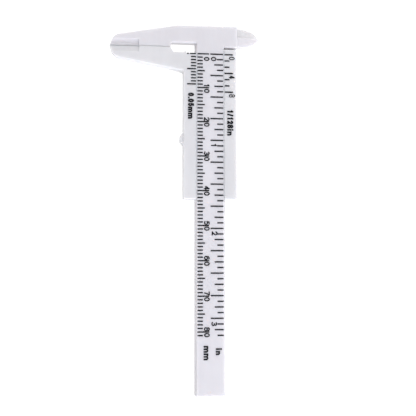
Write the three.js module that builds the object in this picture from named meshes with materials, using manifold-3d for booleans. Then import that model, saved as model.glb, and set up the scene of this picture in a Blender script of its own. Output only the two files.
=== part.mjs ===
// A small injection-moulded vernier caliper, closed and lying on its back.
// Two mouldings: the beam with the head and the fixed jaws, and the slider with the moving jaws.
//
// Drawing frame, in millimetres: X = 0 on the beam's centre line and Y = 0 at the zero of the scales,
// with +X to the inside jaws, +Y to the head and +Z out of the printed face. Z = 0 is the slider's back.
// The group at the end moves the drawing so that the origin is under the middle of the bounding box.
import * as THREE from "three";
import { ConvexGeometry } from "three/addons/geometries/ConvexGeometry.js";
import { mergeVertices } from "three/addons/utils/BufferGeometryUtils.js";
import Module from "manifold-3d";

// Driving dimensions
const THICKNESS = 3.7; // slider's back to the printed face
const BACK_PLATE = 1.25; // slider's back plate
const PLAY = 0.03; // running clearance between the beam and the slider
const EDGE = 0.22; // moulded edge radius
const SHARP_EDGE = 0.12; // edge radius beside the scales, where the beam meets the rails

const HEAD_TOP = 8.24; // at the outside jaw's shoulder
const HEAD_TOP_RIGHT = 8.42; // the head's top rises a little towards the inside jaws
const HEAD_RIGHT = 7.95;
const HEAD_UNDER_RIGHT = 2.08;
const BEAM_END = -98.05;
const BEAM_HALF_FRONT = 3.9; // dovetail: the printed face is narrower than the back
const BEAM_HALF_BACK = 4.5;
const BEAM_END_RADIUS = 1.1;
const BEAM_END_EDGE = 0.3;

const JAW_TIP_X = -29.2;
const JAW_PLANE_Y = 1.95; // where the outside jaws meet
const JAW_GAP = 0.02;
const JAW_SHOULDER_X = -9.8;
const JAW_BACK_SLOPE = Math.tan(THREE.MathUtils.degToRad(10.3));
const JAW_TIP_RADIUS = 3.2;
const KNIFE_END_X = -20.7; // the knife tips run from here to the jaw tip
const KNIFE_WIDTH = 1.9;
const KNIFE_DEPTH = 0.85;
const KNIFE_LAND = 0.95; // flat beside the contact line on the fixed jaw
const KNIFE_ROOT_RADIUS = 0.6; // between that flat and the bevel

const RELIEF_LEFT = -11.75; // opening at the root of the outside jaws
const RELIEF_TOP = 3.1;
const RELIEF_BOTTOM = 0.4;
// The head's front face leans back to the opening in two steps, further at the opening's left end.
const RELIEF_BEVELS = [
  { depth: 0.12, left: 0.95, right: 0.45 },
  { depth: 0.4, left: 0.5, right: 0.25 },
];

const SLIDER_LEFT = -7.8;
const SLIDER_RIGHT = 7.62;
const SLIDER_END = -42.5;
const RAIL_TOP_RIGHT = 1.5;
const RAIL_GAP_FLOOR = 2.3; // height of the step between the right rail's top and the head
const JAW_UNDER_ROOT = [-9.4, -4.8]; // a point on the underside of the moving jaw
const JAW_GUSSET = 3.2; // the moving jaw thickens to the back plate over this length

const INSIDE_PLANE_Y = 5.39; // where the inside jaws' measuring edges meet
const INSIDE_TIP_X = 14.3;
const FIXED_BLADE = { reach: 3.0, bend: 8.0, back: 1.7, front: THICKNESS - 0.55 };
const MOVING_BLADE = { reach: HEAD_TOP_RIGHT - INSIDE_PLANE_Y, bend: 8.6, front: FIXED_BLADE.back - PLAY };
const BLADE_TAPER = 0.08; // part of its thickness that a blade loses with each millimetre towards its tip
const ARM_LEFT = -3.0; // arm behind the head that carries the moving inside jaw
const ARM_THICKNESS = BACK_PLATE - 0.05;

const LUG = { x: -6.9, y: -25.0, radius: 1.95, back: 0.3, front: THICKNESS - 0.35 };

// Round marks that the mould's ejector pins leave in the two backs.
const PIN_MARK = { radius: 1.25, depth: 0.08 };
const BEAM_PIN_YS = [-93, -68, -43, -18, 5.6];
const JAW_PIN_X = -15.5;
const SLIDER_PIN_X = 5;
const SLIDER_PIN_YS = [-38.5, -19, -1];

// Trimmed gate of the slider moulding, on the edge of the opening at the jaws' root.
const GATE = { x: -7.3, width: 0.5, height: 0.3, back: 0.8, front: THICKNESS - 0.5 };

const BEAM_BACK = BACK_PLATE + PLAY;
const ARC_STEPS = 10;
const OVER = 5; // how far a cutting tool passes the surface that it cuts

const wasm = await Module();
wasm.setup();

// Extrusion directions: a profile's two coordinates, then the way it is pushed.
const ALONG_Z = new THREE.Matrix4();
const ALONG_MINUS_Y = new THREE.Matrix4().makeBasis(
  new THREE.Vector3(1, 0, 0),
  new THREE.Vector3(0, 0, 1),
  new THREE.Vector3(0, -1, 0),
);
const ALONG_X = new THREE.Matrix4().makeBasis(
  new THREE.Vector3(0, 1, 0),
  new THREE.Vector3(0, 0, 1),
  new THREE.Vector3(1, 0, 0),
);

// A closed outline through corners [x, y, radius], counter-clockwise; the radius may be left out.
function outline(corners) {
  const shape = new THREE.Shape();
  const at = (i) => new THREE.Vector2(...corners[(i + corners.length) % corners.length]);
  corners.forEach(([x, y, radius = 0], i) => {
    const corner = new THREE.Vector2(x, y);
    const toPrevious = at(i - 1).sub(corner).normalize();
    const toNext = at(i + 1).sub(corner).normalize();
    const go = i === 0 ? "moveTo" : "lineTo";
    if (radius === 0) {
      shape[go](x, y);
      return;
    }
    const half = toPrevious.angleTo(toNext) / 2;
    const start = corner.clone().addScaledVector(toPrevious, radius / Math.tan(half));
    const end = corner.clone().addScaledVector(toNext, radius / Math.tan(half));
    const middle = toPrevious.clone().add(toNext).normalize();
    const centre = corner.clone().addScaledVector(middle, radius / Math.sin(half));
    const clockwise = toPrevious.cross(toNext) > 0;
    shape[go](start.x, start.y);
    shape.absarc(
      centre.x,
      centre.y,
      radius,
      Math.atan2(start.y - centre.y, start.x - centre.x),
      Math.atan2(end.y - centre.y, end.x - centre.x),
      clockwise,
    );
  });
  return shape;
}

function solidOf(geometry) {
  const bare = geometry.clone();
  bare.deleteAttribute("normal");
  bare.deleteAttribute("uv");
  const merged = mergeVertices(bare, 1e-4);
  const mesh = new wasm.Mesh({
    numProp: 3,
    vertProperties: merged.attributes.position.array,
    triVerts: new Uint32Array(merged.index.array),
  });
  return new wasm.Manifold(mesh);
}

// Pushes a profile from one place to another along the way given; edge rounds the rims of both ends.
function pushed(shape, from, to, way, edge) {
  const geometry = new THREE.ExtrudeGeometry(shape, {
    depth: to - from - 2 * edge,
    steps: 1,
    curveSegments: ARC_STEPS,
    bevelEnabled: edge > 0,
    bevelThickness: edge,
    bevelSize: edge,
    bevelOffset: -edge,
    bevelSegments: 3,
  });
  geometry.translate(0, 0, from + edge);
  return geometry.applyMatrix4(way);
}

function prism(shape, from, to, way = ALONG_Z, edge = 0) {
  return solidOf(pushed(shape, from, to, way, edge));
}

function disc(x, y, radius, from, to, edge = 0) {
  const shape = new THREE.Shape();
  shape.absarc(x, y, radius, 0, 2 * Math.PI);
  return prism(shape, from, to, ALONG_Z, edge);
}

// Cuts the ejector marks at the places given out of a solid's back.
function markBack(solid, places, back) {
  const cut = ([x, y]) => disc(x, y, PIN_MARK.radius, back - OVER, back + PIN_MARK.depth);
  return places.reduce((left, place) => left.subtract(cut(place)), solid);
}

function box(x, y, z) {
  return prism(outline([[x[0], y[0]], [x[1], y[0]], [x[1], y[1]], [x[0], y[1]]]), z[0], z[1]);
}

// The back edge of either outside jaw leaves the head or the slider at 10 degrees.
function jawBackY(x) {
  return HEAD_TOP + (x - JAW_SHOULDER_X) * JAW_BACK_SLOPE;
}

function jawUndersideY(x) {
  return JAW_UNDER_ROOT[1] - (x - JAW_UNDER_ROOT[0]) * JAW_BACK_SLOPE;
}

// Takes a knife edge out of a jaw's tip, from the printed face and, more shallowly, from the back.
// side is +1 on the fixed jaw and -1 on the moving one; land is the flat left beside the contact line.
function knifeCutter(side, land) {
  const cut = (surface, outward, width, depth) => {
    const at = (away, down) => [JAW_PLANE_Y + side * away, surface - outward * down];
    const slope = depth / (width - land);
    const profile = outline([
      at(width + 1, -slope),
      at(width + 1, -OVER),
      at(-OVER, -OVER),
      at(-OVER, depth),
      [...at(land, depth), land > 0 ? KNIFE_ROOT_RADIUS : 0],
    ]);
    return prism(profile, JAW_TIP_X - OVER, KNIFE_END_X, ALONG_X);
  };
  const fromFront = cut(THICKNESS, 1, KNIFE_WIDTH, KNIFE_DEPTH);
  const fromBack = cut(BEAM_BACK, -1, KNIFE_WIDTH / 2 + land, KNIFE_DEPTH / 2);
  return fromFront.add(fromBack);
}

// A wedge between the head's front face and a plane that reaches its depth at the opening's edge.
function reliefWedge({ depth, left, right }) {
  const x = [RELIEF_LEFT + 0.45, -BEAM_HALF_FRONT];
  const floor = [THICKNESS - depth, THICKNESS - (depth * right) / left];
  const points = [
    [x[0] + left, RELIEF_TOP + left, THICKNESS],
    [x[1], RELIEF_TOP + right, THICKNESS],
    [x[0], RELIEF_TOP, floor[0]],
    [x[1], RELIEF_TOP, floor[1]],
    [x[0], RELIEF_TOP - 1, floor[0]],
    [x[1], RELIEF_TOP - 1, floor[1]],
  ].map((point) => new THREE.Vector3(...point));
  const lifted = points.map((point) => point.clone().setZ(THICKNESS + OVER));
  return solidOf(new ConvexGeometry([...points, ...lifted]));
}

// The contact edge of the fixed jaw is sharp, and the head's other rims are rounded.
function headAndFixedJaw() {
  const contact = JAW_PLANE_Y + JAW_GAP / 2;
  const below = contact - EDGE;
  const shape = outline([
    [HEAD_RIGHT, HEAD_UNDER_RIGHT],
    [HEAD_RIGHT, HEAD_TOP_RIGHT, 0.3],
    [JAW_SHOULDER_X, HEAD_TOP, 4],
    [JAW_TIP_X + 1.2, jawBackY(JAW_TIP_X + 1.2), JAW_TIP_RADIUS],
    [JAW_TIP_X, below],
    [RELIEF_LEFT, below],
    [RELIEF_LEFT + 0.45, RELIEF_TOP, 0.3],
    [-BEAM_HALF_FRONT + EDGE, RELIEF_TOP],
    [-BEAM_HALF_FRONT + EDGE, HEAD_UNDER_RIGHT],
  ]);
  const jawX = [JAW_TIP_X - OVER, RELIEF_LEFT + 1];
  const underContact = box(jawX, [below - OVER, contact], [0, THICKNESS + OVER]);
  const head = prism(shape, BEAM_BACK, THICKNESS, ALONG_Z, EDGE)
    .subtract(underContact)
    .subtract(knifeCutter(1, KNIFE_LAND));
  return RELIEF_BEVELS.reduce((left, bevel) => left.subtract(reliefWedge(bevel)), head);
}

// The beam: dovetail flanks, small radii along the printed face, rounded corners at the free end.
function beamBar() {
  const section = outline([
    [-BEAM_HALF_BACK, BEAM_BACK, SHARP_EDGE],
    [BEAM_HALF_BACK, BEAM_BACK, SHARP_EDGE],
    [BEAM_HALF_FRONT, THICKNESS, SHARP_EDGE],
    [-BEAM_HALF_FRONT, THICKNESS, SHARP_EDGE],
  ]);
  const half = BEAM_HALF_BACK + BEAM_END_EDGE;
  const ends = outline([
    [-half, BEAM_END, BEAM_END_RADIUS],
    [half, BEAM_END, BEAM_END_RADIUS],
    [half, RELIEF_TOP + 1],
    [-half, RELIEF_TOP + 1],
  ]);
  const bar = prism(section, -RELIEF_TOP - 1, -BEAM_END, ALONG_MINUS_Y);
  return bar.intersect(prism(ends, BEAM_BACK, THICKNESS, ALONG_Z, BEAM_END_EDGE));
}

// Traces a quarter-teardrop blade: out along its measuring edge to the tip, and back round its curve.
function traceBlade(shape, blade, side) {
  const tipAngle = 0.12;
  shape.lineTo(INSIDE_TIP_X - 0.2, INSIDE_PLANE_Y);
  shape.absellipse(
    blade.bend,
    INSIDE_PLANE_Y,
    (INSIDE_TIP_X - blade.bend) / Math.cos(tipAngle),
    blade.reach,
    side * tipAngle,
    (side * Math.PI) / 2,
    side < 0,
  );
}

// A blade's plate, of full thickness at the head's right side and thinner towards the tip.
function bladePlate(shape, back, front) {
  const geometry = pushed(shape, back, front, ALONG_Z, EDGE);
  const place = geometry.attributes.position;
  for (let i = 0; i < place.count; i += 1) {
    const share = 1 - BLADE_TAPER * (place.getX(i) - HEAD_RIGHT);
    place.setZ(i, back + (place.getZ(i) - back) * share);
  }
  return solidOf(geometry);
}

function fixedBlade() {
  const root = HEAD_RIGHT - 1.5;
  const shape = new THREE.Shape();
  shape.moveTo(root, INSIDE_PLANE_Y);
  traceBlade(shape, FIXED_BLADE, -1);
  shape.lineTo(root, INSIDE_PLANE_Y - FIXED_BLADE.reach);
  return bladePlate(shape, FIXED_BLADE.back, FIXED_BLADE.front);
}

function mainBeam() {
  const pins = [...BEAM_PIN_YS.map((y) => [0, y]), [JAW_PIN_X, INSIDE_PLANE_Y - 0.6]];
  return markBack(headAndFixedJaw().add(beamBar()).add(fixedBlade()), pins, BEAM_BACK);
}

// The slider from the front: rails, moving outside jaw and the opening at its root, in one outline.
function sliderSlab() {
  const contact = JAW_PLANE_Y - JAW_GAP / 2;
  const notch = SLIDER_LEFT + 0.5;
  return prism(
    outline([
      [SLIDER_LEFT, SLIDER_END, 0.3],
      [SLIDER_RIGHT, SLIDER_END, 0.3],
      [SLIDER_RIGHT, RAIL_TOP_RIGHT, 0.6],
      [0, RAIL_TOP_RIGHT],
      [0, RELIEF_BOTTOM - 0.15],
      [notch, RELIEF_BOTTOM - 0.15],
      [notch, RELIEF_BOTTOM],
      [RELIEF_LEFT + 1.0, RELIEF_BOTTOM, 0.3],
      [RELIEF_LEFT + 0.05, contact],
      [JAW_TIP_X + 0.1, contact],
      [JAW_TIP_X + 1.1, jawUndersideY(JAW_TIP_X + 1.1), JAW_TIP_RADIUS],
      [SLIDER_LEFT, jawUndersideY(SLIDER_LEFT), 0.5],
    ]),
    0,
    THICKNESS,
    ALONG_Z,
    EDGE,
  );
}

// Step that fills the lower part of the gap between the right rail's top and the head.
function railStep() {
  const x = [BEAM_HALF_FRONT, SLIDER_RIGHT - 0.35];
  return box(x, [RAIL_TOP_RIGHT - 1, HEAD_UNDER_RIGHT - PLAY], [BACK_PLATE - 0.5, RAIL_GAP_FLOOR]);
}

// The way for the beam: the dovetail with its play, flared where it opens in the printed face.
function channelCutter() {
  const halfFront = BEAM_HALF_FRONT + PLAY;
  const halfBack = BEAM_HALF_BACK + PLAY;
  const flare = SHARP_EDGE;
  const side = [
    [halfBack, BACK_PLATE],
    [halfFront, THICKNESS - flare],
    [halfFront + 0.3 * flare, THICKNESS - 0.3 * flare],
    [halfFront + 2 * flare, THICKNESS + flare],
    [halfFront + 2 * flare, THICKNESS + OVER],
  ];
  const mirrored = side.map(([x, z]) => [-x, z]).reverse();
  return prism(outline([...side, ...mirrored]), -HEAD_TOP - OVER, -SLIDER_END + OVER, ALONG_MINUS_Y);
}

// Behind the moving jaw: the jaw is as thick as the beam, and thickens to the back plate at its root.
function jawBackCutter() {
  const root = SLIDER_LEFT - 0.3;
  const far = JAW_TIP_X - OVER;
  const profile = outline([
    [far, -OVER],
    [root, -OVER],
    [root, 0.2],
    [root - JAW_GUSSET, BEAM_BACK],
    [far, BEAM_BACK],
  ]);
  return prism(profile, -2 * OVER, 2 * OVER, ALONG_MINUS_Y);
}

// The arm lies behind the head and carries the moving inside jaw past it, in one outline.
// The blade is thicker than the arm, so the room for the head is cut out of the outline.
function armAndBlade() {
  const right = SLIDER_RIGHT - 0.3;
  const shape = new THREE.Shape();
  shape.moveTo(ARM_LEFT, -OVER);
  shape.lineTo(right, -OVER);
  shape.lineTo(right, INSIDE_PLANE_Y);
  traceBlade(shape, MOVING_BLADE, 1);
  shape.lineTo(ARM_LEFT + 0.6, HEAD_TOP - 0.1);
  shape.lineTo(ARM_LEFT, HEAD_TOP - 0.7);
  const roomX = [ARM_LEFT - OVER, HEAD_RIGHT + PLAY];
  const room = box(roomX, [-2 * OVER, HEAD_TOP + OVER], [ARM_THICKNESS, THICKNESS]);
  return bladePlate(shape, 0, MOVING_BLADE.front).subtract(room);
}

function thumbLug() {
  const left = LUG.x - LUG.radius - OVER;
  return disc(LUG.x, LUG.y, LUG.radius, LUG.back, LUG.front, EDGE)
    .intersect(box([left, SLIDER_LEFT + 1], [SLIDER_END, 0], [0, THICKNESS]));
}

function gateVestige() {
  const x = [GATE.x - GATE.width / 2, GATE.x + GATE.width / 2];
  return box(x, [RELIEF_BOTTOM - 1, RELIEF_BOTTOM + GATE.height], [GATE.back, GATE.front]);
}

function sliderBody() {
  const pins = [-SLIDER_PIN_X, SLIDER_PIN_X].flatMap((x) => SLIDER_PIN_YS.map((y) => [x, y]));
  const body = sliderSlab()
    .add(railStep())
    .subtract(channelCutter())
    .subtract(jawBackCutter())
    .subtract(knifeCutter(-1, 0))
    .add(armAndBlade())
    .add(thumbLug())
    .add(gateVestige());
  return markBack(body, pins, 0);
}

function meshOf(name, solid, material) {
  const { vertProperties, triVerts } = solid.getMesh();
  const geometry = new THREE.BufferGeometry();
  geometry.setAttribute("position", new THREE.BufferAttribute(new Float32Array(vertProperties), 3));
  geometry.setIndex(new THREE.BufferAttribute(new Uint32Array(triVerts), 1));
  const mesh = new THREE.Mesh(geometry, material);
  mesh.name = name;
  return mesh;
}

const beamPlastic = new THREE.MeshStandardMaterial({ color: 0xe2e1e6, roughness: 0.45, metalness: 0 });
const sliderPlastic = new THREE.MeshStandardMaterial({ color: 0xdfe0e4, roughness: 0.45, metalness: 0 });

const caliper = new THREE.Group();
caliper.add(meshOf("main_beam", mainBeam(), beamPlastic));
caliper.add(meshOf("slider", sliderBody(), sliderPlastic));
caliper.position.set(-(JAW_TIP_X + INSIDE_TIP_X) / 2, -(HEAD_TOP_RIGHT + BEAM_END) / 2, 0);

export default caliper;
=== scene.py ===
"""A small plastic vernier caliper, closed, lying on a pale floor.

The two CAD nodes carry the shape. This script gives them their moulded-plastic material, prints the
scales on them as thin ink pieces, and sets the camera, the floor and the light.

The scales are drawn in millimetres, with X = 0 on the beam's centre line, Y = 0 at the zero of the scales
and Z = 0 on the printed face. place() turns a point of that drawing into the model's own frame, in metres.
"""

import math

import bmesh
import bpy
from mathutils import Matrix, Vector
from mathutils.geometry import delaunay_2d_cdt


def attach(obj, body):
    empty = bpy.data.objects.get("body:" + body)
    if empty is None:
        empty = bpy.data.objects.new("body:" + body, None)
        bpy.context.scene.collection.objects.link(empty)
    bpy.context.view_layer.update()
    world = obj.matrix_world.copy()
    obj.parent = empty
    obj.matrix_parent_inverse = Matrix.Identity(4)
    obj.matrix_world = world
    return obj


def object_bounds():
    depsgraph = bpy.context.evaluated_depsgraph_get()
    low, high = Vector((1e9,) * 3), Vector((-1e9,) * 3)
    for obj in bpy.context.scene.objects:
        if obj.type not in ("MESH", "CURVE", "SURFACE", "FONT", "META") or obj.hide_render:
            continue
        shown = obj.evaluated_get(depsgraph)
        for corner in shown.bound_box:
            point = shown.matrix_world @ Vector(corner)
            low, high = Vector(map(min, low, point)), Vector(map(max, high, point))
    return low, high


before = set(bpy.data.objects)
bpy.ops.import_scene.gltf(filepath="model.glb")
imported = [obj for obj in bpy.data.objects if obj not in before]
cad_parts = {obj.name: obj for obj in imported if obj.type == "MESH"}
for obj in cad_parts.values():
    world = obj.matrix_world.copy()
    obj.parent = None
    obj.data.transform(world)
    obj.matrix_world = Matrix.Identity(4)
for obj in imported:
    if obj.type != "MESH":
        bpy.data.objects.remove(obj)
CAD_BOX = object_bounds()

MM = 0.001
INCH = 25.4

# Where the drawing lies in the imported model's box
INSIDE_JAW_TIP = 14.3  # from the beam's centre line
FREE_END = 98.05  # from the zero of the scales
CENTRE_LINE = CAD_BOX[1].x - INSIDE_JAW_TIP * MM
SCALE_ZERO = CAD_BOX[0].y + FREE_END * MM
PRINTED_FACE = CAD_BOX[1].z

# Ink
INK_PROUD = 0.018
INK_SUNK = 0.012  # the ink's foot lies this far below the printed face, so that no gap shows
TICK_WIDTH = 0.38
FINE_PEN = 0.32
THIN_PEN = 0.25
BOLD_PEN = 0.46

# Main scales on the beam: where the ticks start, and how far across the beam each rank reaches
MM_TICKS = {"start": -3.77, "unit": -2.22, "five": -1.64, "ten": -0.40}
MM_LAST = 81
INCH_TICKS = {"start": 3.71, "sixteenth": 1.93, "eighth": 1.14, "quarter": 0.0}
INCH_LAST = 51  # in sixteenths

# Numerals of the main scales. A drop is from the numeral's tick to its middle, towards -Y.
MM_NUMERAL = {"foot": -1.9, "size": (1.17, 1.64), "advance": 1.64, "drop": 0.05}
MM_FIRST_DROPS = {0: 1.5, 10: 0.14}
INCH_NUMERAL_SIZE = (1.22, 1.64)
INCH_NUMERALS = {0: (0.14, 1.45), 1: (0.14, 1.39), 2: (0.32, 1.42), 3: (0.18, 1.56)}  # foot and drop

# Verniers on the slider's rails
MM_VERNIER = {"start": -4.21, "unit": -5.67, "long": -6.79, "zero": 0.0, "pitch": 0.9, "last": 10}
MM_VERNIER_VOID = (-6.3, -5.95)  # the ink did not take here in the zero tick
INCH_VERNIER = {"start": 4.15, "unit": 5.59, "long": 6.58, "zero": -0.05, "pitch": INCH * 7 / 96, "last": 6}
INCH_VERNIER_NUMERAL = {"foot": 5.42, "size": (0.97, 1.74), "drop": 1.12}
INCH_VERNIER_PENS = {0: THIN_PEN, 4: FINE_PEN, 8: THIN_PEN}

# Plastic: its clear colour, the duller colour of its flow streaks, and a lighter colour painted on its edges
# as a highlight
BEAM_TONES = ((0.715, 0.7, 0.715, 1), (0.67, 0.655, 0.67, 1), (0.74, 0.73, 0.74, 1))
SLIDER_TONES = ((0.716, 0.709, 0.711, 1), (0.671, 0.665, 0.669, 1), (0.74, 0.738, 0.74, 1))
SCATTER_DEPTH = 0.0013  # metres that light travels inside the plastic
# Edges within this radius are polished in roughness and painted lighter in colour as a highlight
POLISH_AND_HIGHLIGHT_EDGE = 0.00028  # metres

# Ink where it lies full, evenly and thin
INK_TONES = ((0.008, 0.008, 0.009, 1), (0.02, 0.02, 0.022, 1), (0.035, 0.035, 0.038, 1))

# Noise, in features per metre
STREAKS = 190
SPECKS = 2600
SCRATCHES = 3400
GRAIN = 9000
SINK_MARKS = 120
INK_COVER = 2200
INK_THINNING = 420

# Camera, in degrees and millimetres
PITCH = 5.54
YAW = 6.74
ROLL = 0.06
LENS = 69.23
SENSOR_WIDTH = 36
ZERO_FROM_CAMERA = (0.695, 44.77, -232.65)  # the drawing's origin along the camera's own axes

# Studio, in metres and watts. Each soft box has a place, a size, a power and a colour, and faces the origin.
FLOOR_SIDE = 24.0
FLOOR_GAP = 0.0001
COOL_WHITE = (0.95, 0.955, 1.0)
PALE_BLUE = (0.84, 0.88, 1.0)
PLAIN_WHITE = (1.0, 1.0, 1.0)
SURROUND_STRENGTH = 0.49
SOFT_BOXES = {
    "overhead": ((0.1, -0.04, 0.6), (0.5, 0.5), 1.99, COOL_WHITE),
    "front_strip": ((0.05, -0.3, 0.08), (0.4, 0.1), 0.8, PALE_BLUE),
    "right_strip": ((0.5, 0.0, 0.25), (0.3, 0.4), 0.3, PLAIN_WHITE),
    "back_strip": ((0.0, 0.4, 0.3), (0.4, 0.2), 0.5, PLAIN_WHITE),
}


def place(x, y, z=0.0):
    """A point of the drawing, in millimetres, in the model's own frame."""
    return Vector((CENTRE_LINE + x * MM, SCALE_ZERO + y * MM, PRINTED_FACE + z * MM))


# ---------------------------------------------------------------- pen strokes

SHORTEST_STEP = 0.01
SOFT_TURN = math.radians(40)
I_STEM = 0.58  # top of the stem of "i", as a part of the letter's height with its dot


def ellipse(centre, radii, start, end, steps=20):
    """Points along an ellipse from one angle to another, in degrees."""
    points = []
    for i in range(steps + 1):
        angle = math.radians(start + (end - start) * i / steps)
        points.append((centre[0] + radii[0] * math.cos(angle), centre[1] + radii[1] * math.sin(angle)))
    return points


def curve(start, control, end, steps=10):
    """Points along a quadratic curve."""
    points = []
    for i in range(steps + 1):
        t = i / steps
        weights = ((1 - t) ** 2, 2 * t * (1 - t), t * t)
        points.append(tuple(sum(w * p[k] for w, p in zip(weights, (start, control, end))) for k in (0, 1)))
    return points


# Each glyph is a list of centre lines in a box one unit wide and one unit high. Dots are added by glyph().
GLYPHS = {
    "0": [ellipse((0.5, 0.5), (0.5, 0.5), 0, 360, 32)],
    "1": [[(0.62, 0), (0.62, 1)], [(0.55, 0.93), (0.3, 0.8)]],
    "2": [
        ellipse((0.5, 0.7), (0.46, 0.3), 160, -20)
        + curve((0.9, 0.56), (0.7, 0.36), (0.04, 0))[1:]
        + [(1, 0)],
    ],
    "3": [
        ellipse((0.48, 0.76), (0.42, 0.24), 140, -90),
        ellipse((0.48, 0.26), (0.52, 0.26), 90, -140),
    ],
    "4": [[(0.74, 0), (0.74, 1), (0, 0.28), (1, 0.28)]],
    "5": [[(0.85, 1), (0.22, 1), (0.1, 0.5)] + ellipse((0.48, 0.33), (0.52, 0.33), 140, -135)],
    "6": [
        ellipse((0.5, 0.31), (0.5, 0.31), 0, 360, 28),
        ellipse((0.56, 0.5), (0.56, 0.5), 195, 65),
    ],
    "7": [[(0, 1), (1, 1)] + curve((1, 1), (0.45, 0.5), (0.36, 0))[1:]],
    "8": [
        ellipse((0.5, 0.76), (0.44, 0.24), 0, 360, 28),
        ellipse((0.5, 0.26), (0.5, 0.26), 0, 360, 28),
    ],
    "m": [
        [(0, 0), (0, 1)],
        [(0, 0.6)] + ellipse((0.25, 0.66), (0.25, 0.34), 180, 0, 12) + [(0.5, 0)],
        [(0.5, 0.6)] + ellipse((0.75, 0.66), (0.25, 0.34), 180, 0, 12) + [(1, 0)],
    ],
    "n": [[(0, 0), (0, 1)], [(0, 0.55)] + ellipse((0.5, 0.6), (0.5, 0.4), 180, 0, 16) + [(1, 0)]],
    "i": [[(0.5, 0), (0.5, I_STEM)]],
    "/": [[(0, 0), (1, 1)]],
    ".": [],
}


def disc(centre, radius, sides=12):
    turns = [math.tau * i / sides for i in range(sides)]
    return [centre + Vector((math.cos(turn), math.sin(turn))) * radius for turn in turns]


def band(a, b, start, end):
    """The patch between two cross-cuts of a stroke; cuts that meet inside a tight bend share one point."""
    way = b - a
    left, right = [a + start, b + end], [a - start, b - end]
    if (left[1] - left[0]).dot(way) <= 0:
        left = [sum(left, Vector((0, 0))) / 2]
    if (right[1] - right[0]).dot(way) <= 0:
        right = [sum(right, Vector((0, 0))) / 2]
    return [left[0], *right, *left[1:]]


def stroke_points(line, pen):
    """The line without tiny steps, and whether it closes. An open end runs on by half the pen's width."""
    points = [Vector(line[0])]
    for point in map(Vector, line[1:]):
        if (point - points[-1]).length > SHORTEST_STEP:
            points.append(point)
    closed = (points[0] - points[-1]).length < 2 * SHORTEST_STEP
    if closed:
        points[-1] = points[0]
    else:
        points[0] = points[0] + (points[0] - points[1]).normalized() * pen / 2
        points[-1] = points[-1] + (points[-1] - points[-2]).normalized() * pen / 2
    return points, closed


def shared_cut(before, after):
    """The cross-cut that two neighbouring stretches of a stroke share at a soft turn."""
    return (before + after) / (1 + before.dot(after) / after.length_squared)


def ribbon(line, pen):
    """Convex patches that a pen covers along a line: round at sharp corners, square at the ends."""
    points, closed = stroke_points(line, pen)
    ways = [(b - a).normalized() for a, b in zip(points, points[1:])]
    sides = [Vector((-way.y, way.x)) * pen / 2 for way in ways]
    patches = []
    for i, side in enumerate(sides):
        before = sides[i - 1] if i > 0 or closed else side
        after = sides[(i + 1) % len(sides)] if i < len(sides) - 1 or closed else side
        start, end = side, side
        if before.angle(side) < SOFT_TURN:
            start = shared_cut(before, side)
        else:
            patches.append(disc(points[i], pen / 2))
        if after.angle(side) < SOFT_TURN:
            end = shared_cut(after, side)
        patches.append(band(points[i], points[i + 1], start, end))
    return patches


def bar(x0, x1, y, width):
    """A straight tick across the beam."""
    y0, y1 = y - width / 2, y + width / 2
    return [Vector((x0, y0)), Vector((x1, y0)), Vector((x1, y1)), Vector((x0, y1))]


def glyph(character, foot, start, width, height, pen):
    """A character whose foot is at x = foot and whose left edge is at y = start; it reads towards -Y."""
    patches = []
    if character == ".":
        patches.append(bar(foot, foot + pen, start - width / 2, pen))
    if character == "i":
        patches.append(bar(foot + height - pen, foot + height, start - width / 2, pen))
    for line in GLYPHS[character]:
        drawn = []
        for u, v in line:
            along = pen / 2 + u * (width - pen)
            up = pen / 2 + v * (height - pen)
            drawn.append((foot + up, start - along))
        patches += ribbon(drawn, pen)
    return patches


def numeral(text, foot, middle, size, pen, advance=0.0):
    """Digits centred on y = middle, each one an advance further towards -Y."""
    width, height = size
    start = middle + (advance * (len(text) - 1) + width) / 2
    patches = []
    for i, character in enumerate(text):
        patches += glyph(character, foot, start - i * advance, width, height, pen)
    return patches


def lettering(foot, start, pen, letters):
    """Characters set one after another; each is (character, width, height, gap after it)."""
    patches = []
    for character, width, height, gap in letters:
        patches += glyph(character, foot, start, width, height, pen)
        start -= width + gap
    return patches


# ---------------------------------------------------------------- ink solids

JOIN_DISTANCE = 1e-5


def one_outline(patches):
    """Joins overlapping patches into one flat sheet of triangles."""
    points, faces = [], []
    for patch in patches:
        faces.append(list(range(len(points), len(points) + len(patch))))
        points += [Vector((p[0], p[1])) for p in patch]
    made = delaunay_2d_cdt(points, [], faces, 0, JOIN_DISTANCE)
    kept = [face for face, source in zip(made[2], made[5]) if source]
    return made[0], kept


def ink_mesh(patches):
    """A thin closed mesh whose top and foot are the joined patches."""
    flat, faces = one_outline(patches)
    mesh = bmesh.new()
    top = [mesh.verts.new(place(p.x, p.y, INK_PROUD)) for p in flat]
    foot = [mesh.verts.new(place(p.x, p.y, -INK_SUNK)) for p in flat]
    edges = {}
    for face in faces:
        mesh.faces.new([top[i] for i in face])
        mesh.faces.new([foot[i] for i in reversed(face)])
        for edge in zip(face, face[1:] + face[:1]):
            edges[edge] = True
    for a, b in edges:
        if (b, a) not in edges:
            mesh.faces.new([top[a], foot[a], foot[b], top[b]])
    loose = [v for v in mesh.verts if not v.link_faces]
    bmesh.ops.delete(mesh, geom=loose, context="VERTS")
    bmesh.ops.recalc_face_normals(mesh, faces=mesh.faces)
    return mesh


def printed(name, body, patches, ink):
    """Flat patches of the drawing as a thin solid of ink that rides on a body."""
    mesh = ink_mesh(patches)
    data = bpy.data.meshes.new(name)
    mesh.to_mesh(data)
    mesh.free()
    data.materials.append(ink)
    piece = bpy.data.objects.new(name, data)
    bpy.context.scene.collection.objects.link(piece)
    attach(piece, body)


# ---------------------------------------------------------------- scales


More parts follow.
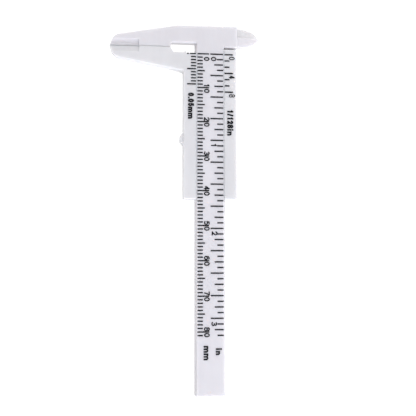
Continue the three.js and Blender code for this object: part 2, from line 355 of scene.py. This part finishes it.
def main_mm_scale(ink):
    reach = MM_TICKS
    ticks = []
    for i in range(MM_LAST + 1):
        end = reach["ten"] if i % 10 == 0 else reach["five"] if i % 5 == 0 else reach["unit"]
        ticks.append(bar(reach["start"], end, -i, TICK_WIDTH))
    printed("main_mm_ticks", "beam", ticks, ink)
    style = MM_NUMERAL
    for value in range(0, MM_LAST, 10):
        middle = -value - MM_FIRST_DROPS.get(value, style["drop"])
        digits = numeral(str(value), style["foot"], middle, style["size"], FINE_PEN, style["advance"])
        printed(f"main_mm_numeral_{value}", "beam", digits, ink)
    letter = ("m", 1.9, 1.33, 0.2)
    printed("main_mm_unit_mark", "beam", lettering(-2.04, -83.85, BOLD_PEN, [letter, letter]), ink)


def main_inch_scale(ink):
    reach = INCH_TICKS
    ticks = []
    for i in range(INCH_LAST + 1):
        end = reach["quarter"] if i % 4 == 0 else reach["eighth"] if i % 2 == 0 else reach["sixteenth"]
        ticks.append(bar(end, reach["start"], -i * INCH / 16, TICK_WIDTH))
    printed("main_inch_ticks", "beam", ticks, ink)
    for value, (foot, drop) in INCH_NUMERALS.items():
        digits = numeral(str(value), foot, -value * INCH - drop, INCH_NUMERAL_SIZE, FINE_PEN)
        printed(f"main_inch_numeral_{value}", "beam", digits, ink)
    letters = [("i", BOLD_PEN, 1.73, 0.28), ("n", 1.15, 1.2, 0)]
    printed("main_inch_unit_mark", "beam", lettering(1.42, -84.55, BOLD_PEN, letters), ink)


def vernier_ticks(vernier, long_every):
    ticks = []
    for i in range(vernier["last"] + 1):
        end = vernier["long"] if i % long_every == 0 else vernier["unit"]
        x0, x1 = sorted((vernier["start"], end))
        ticks.append(bar(x0, x1, vernier["zero"] - i * vernier["pitch"], TICK_WIDTH))
    return ticks


def mm_vernier(ink):
    ticks = vernier_ticks(MM_VERNIER, 5)
    ticks[0:1] = [
        bar(MM_VERNIER["long"], MM_VERNIER_VOID[0], 0, TICK_WIDTH),
        bar(MM_VERNIER_VOID[1], MM_VERNIER["start"], 0, TICK_WIDTH),
    ]
    printed("vernier_mm_ticks", "slider", ticks, ink)
    tall = 1.76
    low = 1.26
    letters = [
        ("0", 1.06, tall, 0.14),
        (".", BOLD_PEN, BOLD_PEN, 0.12),
        ("0", 1.06, tall, 0.14),
        ("5", 1.0, tall, 0.14),
        ("m", 1.62, low, 0.14),
        ("m", 1.75, low, 0),
    ]
    printed("vernier_mm_resolution_mark", "slider", lettering(-6.52, -11.58, BOLD_PEN, letters), ink)


def inch_vernier(ink):
    printed("vernier_inch_ticks", "slider", vernier_ticks(INCH_VERNIER, 3), ink)
    style = INCH_VERNIER_NUMERAL
    for i, (value, pen) in enumerate(INCH_VERNIER_PENS.items()):
        middle = -3 * i * INCH_VERNIER["pitch"] - style["drop"]
        digits = numeral(str(value), style["foot"], middle, style["size"], pen)
        printed(f"vernier_inch_numeral_{value}", "slider", digits, ink)
    tall = 1.78
    low = 1.26
    letters = [
        ("1", 0.85, tall, 0.22),
        ("/", 0.75, tall, 0.22),
        ("1", 0.85, tall, 0.2),
        ("2", 1.05, tall, 0.12),
        ("8", 1.1, tall, 0.2),
        ("i", BOLD_PEN, tall, 0.28),
        ("n", 1.2, low, 0),
    ]
    printed("vernier_inch_resolution_mark", "slider", lettering(4.88, -16.43, BOLD_PEN, letters), ink)


# ---------------------------------------------------------------- shader nodes


def node(tree, kind, inputs=(), **settings):
    """A shader node; each input takes a value or another node's output."""
    made = tree.nodes.new(kind)
    for key, value in settings.items():
        setattr(made, key, value)
    for socket, value in dict(inputs).items():
        if isinstance(value, bpy.types.NodeSocket):
            tree.links.new(value, made.inputs[socket])
        else:
            made.inputs[socket].default_value = value
    return made


def noise(tree, where, scale, detail, roughness=0.5):
    inputs = {"Vector": where, "Scale": scale, "Detail": detail, "Roughness": roughness}
    return node(tree, "ShaderNodeTexNoise", inputs).outputs["Fac"]


def remap(tree, value, low, high, to_low, to_high):
    inputs = {"Value": value, "From Min": low, "From Max": high, "To Min": to_low, "To Max": to_high}
    return node(tree, "ShaderNodeMapRange", inputs).outputs["Result"]


def mix(tree, factor, first, second):
    """A mix of two colours; these are the colour sockets of the node."""
    inputs = {0: factor, 6: first, 7: second}
    return node(tree, "ShaderNodeMix", inputs, data_type="RGBA").outputs[2]


def add(tree, first, second):
    return node(tree, "ShaderNodeMath", {0: first, 1: second}, operation="ADD").outputs[0]


def drawn_out(tree, where, along_beam):
    """Coordinates that stretch a pattern along the beam."""
    inputs = {"Vector": where, "Scale": (1.0, along_beam, 1.0)}
    return node(tree, "ShaderNodeMapping", inputs).outputs["Vector"]


def bump(tree, height, strength, distance, below=None):
    """The surface normal after a bump, on the bare surface or on the bump below it."""
    inputs = {"Height": height, "Strength": strength, "Distance": distance}
    if below is not None:
        inputs["Normal"] = below
    return node(tree, "ShaderNodeBump", inputs).outputs["Normal"]


def edge_mask(tree, radius):
    """0 on flat faces, rising to 1 at convex and concave edges within the radius."""
    soft = node(tree, "ShaderNodeBevel", {"Radius": radius}, samples=6).outputs["Normal"]
    hard = node(tree, "ShaderNodeNewGeometry").outputs["Normal"]
    same = node(tree, "ShaderNodeVectorMath", {0: soft, 1: hard}, operation="DOT_PRODUCT").outputs["Value"]
    return remap(tree, same, 0.99, 0.8, 0.0, 1.0)


def new_material(name):
    material = bpy.data.materials.new(name)
    material.use_nodes = True
    tree = material.node_tree
    tree.nodes.clear()
    out = tree.nodes.new("ShaderNodeOutputMaterial")
    shader = tree.nodes.new("ShaderNodeBsdfPrincipled")
    tree.links.new(shader.outputs["BSDF"], out.inputs["Surface"])
    return material, tree, shader


# ---------------------------------------------------------------- materials


def moulded_plastic(name, tones):
    """Satin white styrene: flow streaks along the moulding, fine grain, hairlines, polished edges, and a
    painted highlight that lightens the colour at edges.
    """
    clear, dull, painted_edge_highlight = tones
    material, tree, shader = new_material(name)
    where = node(tree, "ShaderNodeTexCoord").outputs["Object"]
    streak = noise(tree, drawn_out(tree, where, 0.22), STREAKS, 4.0, 0.6)
    speck = noise(tree, where, SPECKS, 2.0)
    scratch = noise(tree, drawn_out(tree, where, 0.03), SCRATCHES, 2.0)
    # This edge mask drives both the polish in roughness and a painted highlight in the colour
    edges = edge_mask(tree, POLISH_AND_HIGHLIGHT_EDGE)

    streaked = mix(tree, remap(tree, streak, 0.3, 0.7, 0.0, 1.0), clear, dull)
    specked = mix(tree, remap(tree, speck, 0.62, 0.8, 0.0, 0.35), streaked, dull)
    # Painted highlight: convex and concave edges are mixed towards a lighter tone
    edge_highlighted = mix(tree, remap(tree, edges, 0.0, 1.0, 0.0, 0.6), specked, painted_edge_highlight)
    tree.links.new(edge_highlighted, shader.inputs["Base Color"])

    satin = remap(tree, streak, 0.3, 0.7, 0.38, 0.5)
    rubbed = add(tree, satin, remap(tree, scratch, 0.6, 0.75, 0.0, 0.12))
    polished = add(tree, rubbed, remap(tree, edges, 0.0, 1.0, 0.0, -0.08))
    tree.links.new(polished, shader.inputs["Roughness"])

    grained = bump(tree, noise(tree, where, GRAIN, 2.0), 0.1, 0.00002)
    sunken = bump(tree, noise(tree, where, SINK_MARKS, 1.0), 0.25, 0.0002, grained)
    scratched = bump(tree, scratch, 0.06, 0.00001, sunken)
    tree.links.new(scratched, shader.inputs["Normal"])

    shader.inputs["Subsurface Weight"].default_value = 1.0
    shader.inputs["Subsurface Radius"].default_value = (1.06, 1.0, 0.96)
    shader.inputs["Subsurface Scale"].default_value = SCATTER_DEPTH
    shader.inputs["Specular IOR Level"].default_value = 0.2
    return material


def printing_ink(name):
    """Matte black ink with slightly uneven cover."""
    material, tree, shader = new_material(name)
    where = node(tree, "ShaderNodeTexCoord").outputs["Object"]
    cover = noise(tree, where, INK_COVER, 3.0, 0.6)
    thinning = noise(tree, where, INK_THINNING, 2.0)
    full, even, thin = INK_TONES
    black = mix(tree, remap(tree, cover, 0.35, 0.75, 0.0, 1.0), full, even)
    colour = mix(tree, remap(tree, thinning, 0.5, 0.8, 0.0, 1.0), black, thin)
    tree.links.new(colour, shader.inputs["Base Color"])
    tree.links.new(remap(tree, cover, 0.3, 0.7, 0.7, 0.9), shader.inputs["Roughness"])
    tree.links.new(bump(tree, cover, 0.3, 0.00002), shader.inputs["Normal"])
    shader.inputs["Specular IOR Level"].default_value = 0.1
    return material


def studio_floor(name):
    """A pale floor that glows, so that it stays white under soft light."""
    material, _, shader = new_material(name)
    shader.inputs["Base Color"].default_value = (0.1, 0.1, 0.1, 1)
    shader.inputs["Roughness"].default_value = 0.9
    shader.inputs["Emission Color"].default_value = (1, 1, 1, 1)
    shader.inputs["Emission Strength"].default_value = 1.0
    return material


# ---------------------------------------------------------------- the two mouldings

SHARPEST_ROUND = math.radians(38)  # faces that meet at a larger angle keep a hard edge


def dress(name, tones, slot):
    """Gives a CAD node its plastic and smooth moulded radii, with flat faces kept flat."""
    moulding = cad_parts[name]
    moulding.data.materials.clear()
    moulding.data.materials.append(moulded_plastic(slot, tones))
    for face in moulding.data.polygons:
        face.use_smooth = True
    moulding.data.set_sharp_from_angle(angle=SHARPEST_ROUND)
    weighted = moulding.modifiers.new("flat_faces", "WEIGHTED_NORMAL")
    weighted.keep_sharp = True
    weighted.weight = 100


# ---------------------------------------------------------------- camera, floor and light


def camera():
    """Looks down on the printed face, from a little to the left and towards the free end."""
    turn = Matrix.Rotation(-math.radians(PITCH), 3, "X")
    turn = turn @ Matrix.Rotation(math.radians(YAW), 3, "Y")
    turn = turn @ Matrix.Rotation(math.radians(ROLL), 3, "Z")
    data = bpy.data.cameras.new("camera")
    data.sensor_width = SENSOR_WIDTH
    data.lens = LENS
    data.clip_start = 0.01
    shot = bpy.data.objects.new("camera", data)
    bpy.context.scene.collection.objects.link(shot)
    back = turn.transposed()
    stand = place(0, 0) - back @ (Vector(ZERO_FROM_CAMERA) * MM)
    shot.matrix_world = Matrix.Translation(stand) @ back.to_4x4()
    bpy.context.scene.camera = shot


def floor():
    mesh = bmesh.new()
    bmesh.ops.create_grid(mesh, x_segments=1, y_segments=1, size=FLOOR_SIDE / 2)
    data = bpy.data.meshes.new("floor")
    mesh.to_mesh(data)
    mesh.free()
    data.materials.append(studio_floor("floor_white"))
    sheet = bpy.data.objects.new("floor", data)
    sheet.location.z = CAD_BOX[0].z - FLOOR_GAP
    bpy.context.scene.collection.objects.link(sheet)


def soft_box(name, position, size, power, colour):
    data = bpy.data.lights.new(name, "AREA")
    data.color = colour
    data.shape = "RECTANGLE"
    data.size, data.size_y = size
    data.energy = power
    lamp = bpy.data.objects.new(name, data)
    lamp.location = position
    lamp.rotation_mode = "QUATERNION"
    lamp.rotation_quaternion = (-Vector(position)).to_track_quat("-Z", "Y")
    bpy.context.scene.collection.objects.link(lamp)


def lights():
    world = bpy.data.worlds.new("studio")
    world.use_nodes = True
    background = world.node_tree.nodes["Background"]
    background.inputs["Color"].default_value = (*COOL_WHITE, 1)
    background.inputs["Strength"].default_value = SURROUND_STRENGTH
    bpy.context.scene.world = world
    for name, (position, size, power, colour) in SOFT_BOXES.items():
        soft_box(name, position, size, power, colour)


def main():
    bpy.context.scene.view_settings.view_transform = "Standard"
    camera()
    floor()
    lights()
    dress("main_beam", BEAM_TONES, "beam_plastic")
    dress("slider", SLIDER_TONES, "slider_plastic")
    ink = printing_ink("scale_ink")
    main_mm_scale(ink)
    main_inch_scale(ink)
    mm_vernier(ink)
    inch_vernier(ink)


main()
